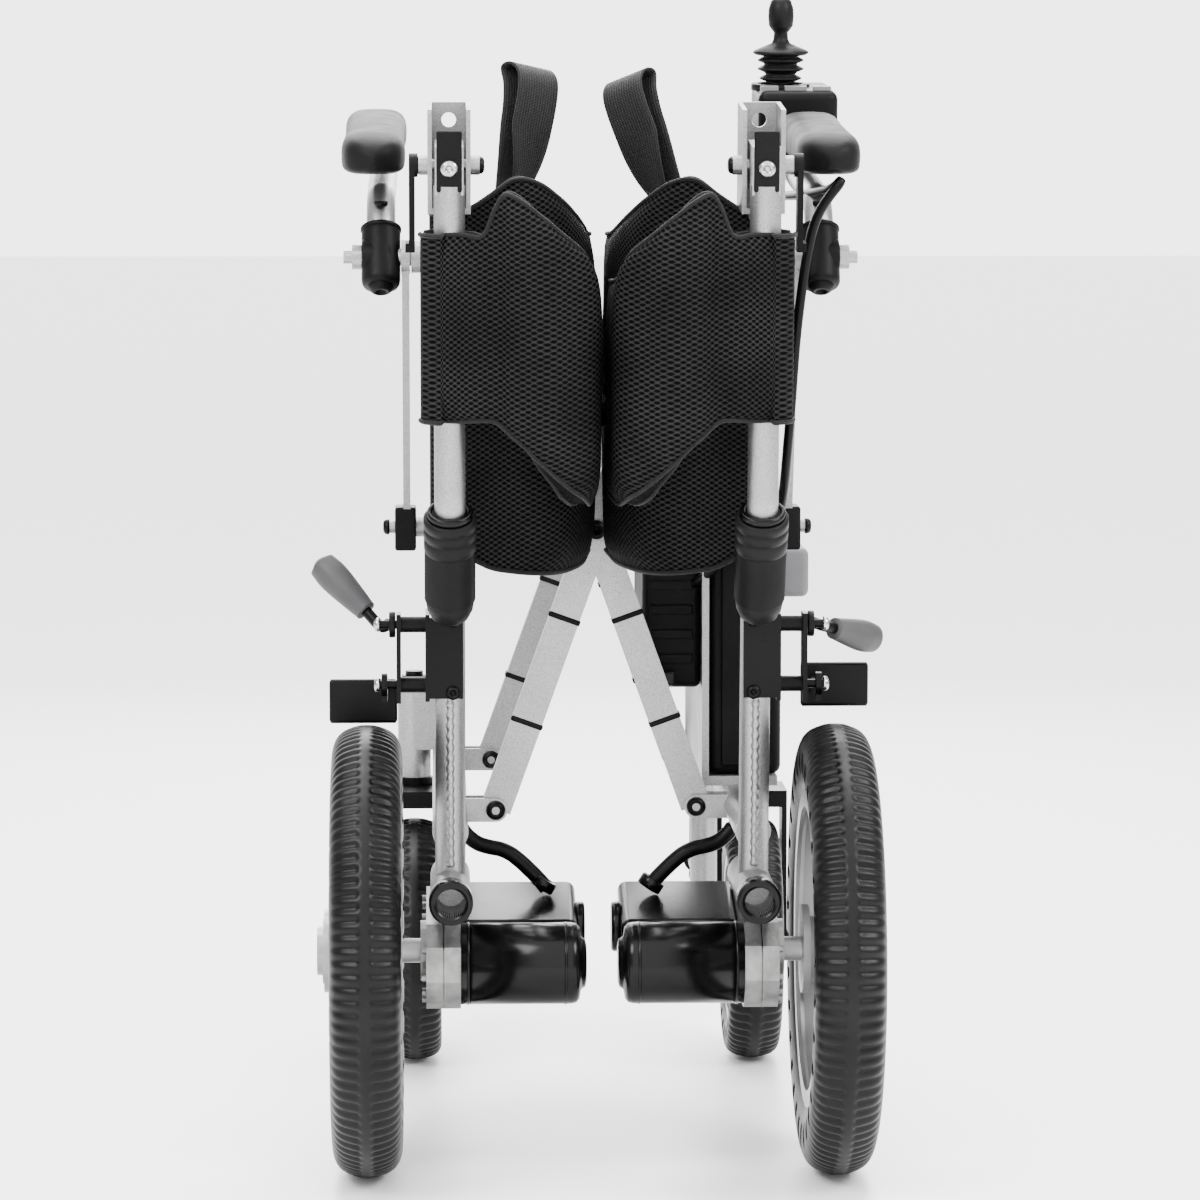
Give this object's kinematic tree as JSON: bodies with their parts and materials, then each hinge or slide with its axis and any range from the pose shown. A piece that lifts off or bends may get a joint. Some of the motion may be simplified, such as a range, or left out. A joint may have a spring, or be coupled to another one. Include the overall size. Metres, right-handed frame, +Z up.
{
  "type": "power wheelchair",
  "caption": "Folding electric wheelchair stored folded, with driven rear wheels, swivel casters, cross brace, drop-down backrest and joystick.",
  "frame": {"origin": "on the floor, at the middle of the folded chair", "axes": "+Y towards the front of the chair, +X to the rider's right, +Z up"},
  "size_m": [0.403, 0.9415, 0.8265],
  "materials": {
    "silver_frame": "fine silver metallic powder coat",
    "cast_gearbox": "satin cast",
    "gloss_black": "gloss black enamel",
    "cable_black": "smooth black jacket",
    "moulded_black": "fine grained black",
    "black_steel": "black powder coat",
    "soft_grip": "soft satin rubber",
    "mesh_fabric": "black spacer mesh",
    "webbing": "ribbed black webbing",
    "tyre_rubber": "solid black tyre rubber",
    "rim_alloy": "satin silver alloy",
    "pad_skin": "moulded skin foam",
    "key_grey": "satin grey"
  },
  "bodies": {
    "left_side": {"left_frame": "silver_frame", "left_gearbox": "cast_gearbox", "left_motor": "gloss_black", "left_motor_cable": "cable_black", "left_arm_strut": "silver_frame", "left_brake_mount": "black_steel", "left_lower_sleeve": "mesh_fabric"},
    "right_side": {"right_frame": "silver_frame", "right_gearbox": "cast_gearbox", "right_motor": "gloss_black", "right_motor_cable": "cable_black", "right_arm_strut": "silver_frame", "right_brake_mount": "black_steel", "right_lower_sleeve": "mesh_fabric", "battery_pack": "moulded_black", "control_box": "moulded_black"},
    "brace_a": {"brace_a": "silver_frame", "right_pull_strap": "webbing"},
    "brace_b": {"brace_b": "silver_frame", "left_pull_strap": "webbing"},
    "right_seat": {"right_seat_panel": "mesh_fabric"},
    "left_seat": {"left_seat_panel": "mesh_fabric"},
    "left_lower_back": {"left_lower_back": "mesh_fabric"},
    "left_backrest": {"left_upper_cane": "silver_frame", "left_grip": "soft_grip", "left_upper_sleeve": "mesh_fabric"},
    "left_upper_back": {"left_upper_back": "mesh_fabric"},
    "left_hinge_lock": {"left_hinge_lock": "moulded_black"},
    "left_wheel": {"left_rear_tyre": "tyre_rubber", "left_rear_rim": "rim_alloy"},
    "left_fork": {"left_fork": "black_steel"},
    "left_caster": {"left_caster_tyre": "tyre_rubber", "left_caster_rim": "rim_alloy"},
    "left_arm": {"left_arm_post": "silver_frame", "left_arm_pad": "pad_skin"},
    "left_brake_lever": {"left_brake_lever": "soft_grip"},
    "left_brake_shoe": {"left_brake_shoe": "black_steel"},
    "left_footplate": {"left_footplate": "moulded_black"},
    "right_lower_back": {"right_lower_back": "mesh_fabric"},
    "right_backrest": {"right_upper_cane": "silver_frame", "right_grip": "soft_grip", "right_upper_sleeve": "mesh_fabric"},
    "right_upper_back": {"right_upper_back": "mesh_fabric"},
    "right_hinge_lock": {"right_hinge_lock": "moulded_black"},
    "right_wheel": {"right_rear_tyre": "tyre_rubber", "right_rear_rim": "rim_alloy"},
    "right_fork": {"right_fork": "black_steel"},
    "right_caster": {"right_caster_tyre": "tyre_rubber", "right_caster_rim": "rim_alloy"},
    "right_arm": {"right_arm_post": "silver_frame", "right_arm_pad": "pad_skin", "joystick_box": "moulded_black"},
    "right_brake_lever": {"right_brake_lever": "soft_grip"},
    "right_brake_shoe": {"right_brake_shoe": "black_steel"},
    "right_footplate": {"right_footplate": "moulded_black"},
    "stick_gimbal": {"joystick_gimbal": "moulded_black"},
    "stick": {"joystick_stick": "soft_grip"},
    "power_button": {"power_button": "key_grey"},
    "horn_button": {"horn_button": "key_grey"},
    "speed_rocker": {"speed_rocker": "key_grey"}
  },
  "joints": [
    {"name": "fold", "type": "hinge", "parent": "left_side", "child": "brace_a", "pos_m": [-0.0725, -0.181, 0.241], "axis": [0, 1, 0], "range_deg": [0, 43]},
    {"name": "brace_cross", "type": "hinge", "parent": "brace_a", "child": "brace_b", "pos_m": [0, -0.181, 0.443], "axis": [0, 1, 0], "range_deg": [-86, 0]},
    {"name": "right_side_upright", "type": "hinge", "parent": "brace_b", "child": "right_side", "pos_m": [0.0725, -0.181, 0.241], "axis": [0, 1, 0], "range_deg": [0, 43]},
    {"name": "right_seat_hang", "type": "hinge", "parent": "brace_a", "child": "right_seat", "pos_m": [0.07567, -0.031, 0.65383], "axis": [0, 1, 0], "range_deg": [0, 47]},
    {"name": "left_seat_hang", "type": "hinge", "parent": "brace_b", "child": "left_seat", "pos_m": [-0.07567, -0.031, 0.65383], "axis": [0, -1, 0], "range_deg": [0, 47]},
    {"name": "left_lower_back_fold", "type": "hinge", "parent": "left_side", "child": "left_lower_back", "pos_m": [-0.0415, -0.3542, 0.55584], "axis": [0, 0.1045, -0.9945], "range_deg": [0, 77.1]},
    {"name": "left_backrest_hinge", "type": "hinge", "parent": "left_side", "child": "left_backrest", "pos_m": [-0.1055, -0.39992, 0.70387], "axis": [-1, 0, 0], "range_deg": [0, 180]},
    {"name": "left_upper_back_fold", "type": "hinge", "parent": "left_backrest", "child": "left_upper_back", "pos_m": [-0.0255, -0.4359, 0.59652], "axis": [0, 0.1045, -0.9945], "range_deg": [0, 82]},
    {"name": "left_hinge_lock_turn", "type": "hinge", "parent": "left_side", "child": "left_hinge_lock", "pos_m": [-0.1295, -0.39992, 0.70387], "axis": [-1, 0, 0], "range_deg": [0, 40]},
    {"name": "left_wheel_spin", "type": "hinge", "parent": "left_side", "child": "left_wheel", "pos_m": [-0.1635, -0.311, 0.1575], "axis": [1, 0, 0], "continuous": true},
    {"name": "left_caster_swivel", "type": "hinge", "parent": "left_side", "child": "left_fork", "pos_m": [-0.1325, 0.177, 0.25], "axis": [0, 0, 1], "continuous": true},
    {"name": "left_caster_spin", "type": "hinge", "parent": "left_fork", "child": "left_caster", "pos_m": [-0.1325, 0.137, 0.095], "axis": [1, 0, 0], "continuous": true},
    {"name": "left_arm_flip", "type": "hinge", "parent": "left_side", "child": "left_arm", "pos_m": [-0.1555, -0.291, 0.64], "axis": [1, 0, 0], "range_deg": [0, 88]},
    {"name": "left_brake_pull", "type": "hinge", "parent": "left_side", "child": "left_brake_lever", "pos_m": [-0.1475, -0.311, 0.386], "axis": [1, 0, 0], "range_deg": [-50, 5]},
    {"name": "left_brake_press", "type": "hinge", "parent": "left_side", "child": "left_brake_shoe", "pos_m": [-0.1505, -0.311, 0.344], "axis": [1, 0, 0], "range_deg": [-1.36, 13.51]},
    {"name": "left_foot_flip", "type": "hinge", "parent": "left_side", "child": "left_footplate", "pos_m": [-0.1055, 0.393, 0.112], "axis": [0, 1, 0], "range_deg": [0, 90]},
    {"name": "right_lower_back_fold", "type": "hinge", "parent": "right_side", "child": "right_lower_back", "pos_m": [0.0415, -0.3542, 0.55584], "axis": [0, -0.1045, 0.9945], "range_deg": [0, 77.1]},
    {"name": "right_backrest_hinge", "type": "hinge", "parent": "right_side", "child": "right_backrest", "pos_m": [0.1055, -0.39992, 0.70387], "axis": [-1, 0, 0], "range_deg": [0, 180]},
    {"name": "right_upper_back_fold", "type": "hinge", "parent": "right_backrest", "child": "right_upper_back", "pos_m": [0.0255, -0.4359, 0.59652], "axis": [0, -0.1045, 0.9945], "range_deg": [0, 82]},
    {"name": "right_hinge_lock_turn", "type": "hinge", "parent": "right_side", "child": "right_hinge_lock", "pos_m": [0.1295, -0.39992, 0.70387], "axis": [-1, 0, 0], "range_deg": [0, 40]},
    {"name": "right_wheel_spin", "type": "hinge", "parent": "right_side", "child": "right_wheel", "pos_m": [0.1635, -0.311, 0.1575], "axis": [1, 0, 0], "continuous": true},
    {"name": "right_caster_swivel", "type": "hinge", "parent": "right_side", "child": "right_fork", "pos_m": [0.1325, 0.177, 0.25], "axis": [0, 0, 1], "continuous": true},
    {"name": "right_caster_spin", "type": "hinge", "parent": "right_fork", "child": "right_caster", "pos_m": [0.1325, 0.137, 0.095], "axis": [1, 0, 0], "continuous": true},
    {"name": "right_arm_flip", "type": "hinge", "parent": "right_side", "child": "right_arm", "pos_m": [0.1555, -0.291, 0.64], "axis": [1, 0, 0], "range_deg": [0, 88]},
    {"name": "right_brake_pull", "type": "hinge", "parent": "right_side", "child": "right_brake_lever", "pos_m": [0.1475, -0.311, 0.386], "axis": [1, 0, 0], "range_deg": [0, 50]},
    {"name": "right_brake_press", "type": "hinge", "parent": "right_side", "child": "right_brake_shoe", "pos_m": [0.1505, -0.311, 0.344], "axis": [1, 0, 0], "range_deg": [-13.51, 0]},
    {"name": "right_foot_flip", "type": "hinge", "parent": "right_side", "child": "right_footplate", "pos_m": [0.1055, 0.393, 0.112], "axis": [0, -1, 0], "range_deg": [0, 90]},
    {"name": "stick_side", "type": "hinge", "parent": "right_arm", "child": "stick_gimbal", "pos_m": [0.1435, -0.01608, 0.76765], "axis": [0, 0.9962, 0.0872], "range_deg": [-15, 15], "stiffness_Nm_per_rad": 0.3},
    {"name": "stick_forward", "type": "hinge", "parent": "stick_gimbal", "child": "stick", "pos_m": [0.1435, -0.01608, 0.76765], "axis": [1, 0, 0], "range_deg": [-15, 15], "stiffness_Nm_per_rad": 0.3},
    {"name": "power_button_press", "type": "slide", "parent": "right_arm", "child": "power_button", "axis": [0, -0.0872, 0.9962], "range_m": [-0.0012, 0], "stiffness_N_per_m": 400, "springref_m": 0.0008},
    {"name": "horn_button_press", "type": "slide", "parent": "right_arm", "child": "horn_button", "axis": [0, -0.0872, 0.9962], "range_m": [-0.0012, 0], "stiffness_N_per_m": 400, "springref_m": 0.0008},
    {"name": "speed_rocker_tilt", "type": "hinge", "parent": "right_arm", "child": "speed_rocker", "pos_m": [0.1525, -0.04943, 0.75871], "axis": [0, 0.9962, 0.0872], "range_deg": [-6, 6], "stiffness_Nm_per_rad": 0.05}
  ],
  "couplings": [
    {"joint": "brace_cross", "follows": "fold", "ratio": -2},
    {"joint": "right_side_upright", "follows": "fold", "ratio": 1},
    {"joint": "right_seat_hang", "follows": "fold", "ratio": 1.093},
    {"joint": "left_seat_hang", "follows": "fold", "ratio": 1.093},
    {"joint": "left_lower_back_fold", "follows": "fold", "ratio": 1.793},
    {"joint": "left_upper_back_fold", "follows": "fold", "ratio": 1.907},
    {"joint": "left_brake_press", "follows": "left_brake_pull", "ratio": -0.27},
    {"joint": "right_lower_back_fold", "follows": "fold", "ratio": 1.793},
    {"joint": "right_upper_back_fold", "follows": "fold", "ratio": 1.907},
    {"joint": "right_brake_press", "follows": "right_brake_pull", "ratio": -0.27}
  ]
}
